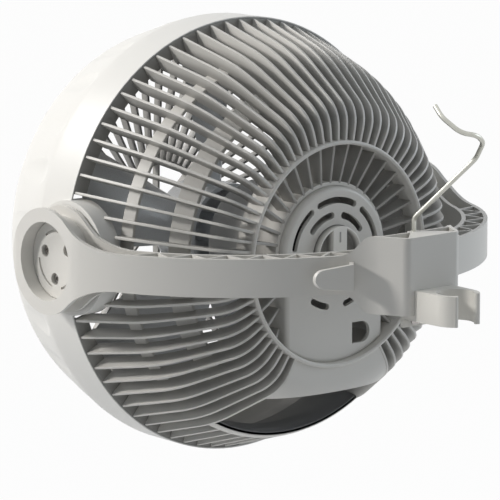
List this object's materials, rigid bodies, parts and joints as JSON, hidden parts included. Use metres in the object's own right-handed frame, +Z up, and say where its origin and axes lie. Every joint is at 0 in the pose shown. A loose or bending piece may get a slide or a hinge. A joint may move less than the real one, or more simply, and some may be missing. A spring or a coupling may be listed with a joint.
{
  "type": "clip fan",
  "caption": "Fan with a finned dome grille at the back of a scalloped round head, tilting between the arms of a ribbed yoke, with a spring clip for a round pole and a wire safety hook.",
  "frame": {"origin": "centre of the pole clip's bore, on the pole's axis, halfway up the clip's wall", "axes": "+Z up along the pole; the fan blows towards -Y and the head's tilt axis is parallel to X"},
  "size_m": [0.2594, 0.2575, 0.2324],
  "materials": {
    "body_plastic": "satin",
    "shroud_plastic": "satin",
    "clip_plastic": "satin",
    "blade_plastic": "gloss",
    "screw_steel": "dark, machined recess",
    "wire_steel": "plated wire",
    "washer_plastic": "matt",
    "motor_metal": "matt",
    "bearing_steel": "ground",
    "core_iron": "stacked sheets",
    "switch_plastic": "matt"
  },
  "bodies": {
    "mount": {"yoke": "body_plastic", "cord_hook": "body_plastic", "pole_clip": "clip_plastic", "clip_screws": "screw_steel"},
    "hook": {"wire_hook": "wire_steel"},
    "head": {"front_shroud": "shroud_plastic", "front_grille": "body_plastic", "front_cap": "body_plastic", "rear_grille": "body_plastic", "rear_cover": "body_plastic", "friction_washer_left": "washer_plastic", "friction_washer_right": "washer_plastic", "pivot_cap_left": "body_plastic", "pivot_cap_right": "body_plastic", "pivot_screws_left": "screw_steel", "pivot_screws_right": "screw_steel", "motor_plate": "motor_metal", "plate_screws": "screw_steel", "motor_can": "motor_metal", "motor_screws": "screw_steel", "stator_core": "core_iron", "motor_bearings": "bearing_steel", "speed_switch": "switch_plastic", "switch_nut": "bearing_steel", "terminal_block": "switch_plastic"},
    "knob": {"speed_knob": "body_plastic", "switch_spindle": "switch_plastic"},
    "rotor": {"fan_blade": "blade_plastic", "motor_shaft": "bearing_steel", "rotor_core": "core_iron", "blade_nut": "blade_plastic"}
  },
  "joints": [
    {"name": "head_tilt", "type": "hinge", "parent": "mount", "child": "head", "pos_m": [0, -0.17, 0.015], "axis": [1, 0, 0], "range_deg": [-80, 80]},
    {"name": "blade_spin", "type": "hinge", "parent": "head", "child": "rotor", "pos_m": [0, -0.196, 0.015], "axis": [0, 1, 0], "continuous": true},
    {"name": "speed_knob_turn", "type": "hinge", "parent": "head", "child": "knob", "pos_m": [0, -0.096, 0.015], "axis": [0, 1, 0], "range_deg": [-45, 45]},
    {"name": "hook_swing", "type": "hinge", "parent": "mount", "child": "hook", "pos_m": [0, -0.0315, 0.03], "axis": [0, 0, 1], "range_deg": [-90, 90]}
  ]
}
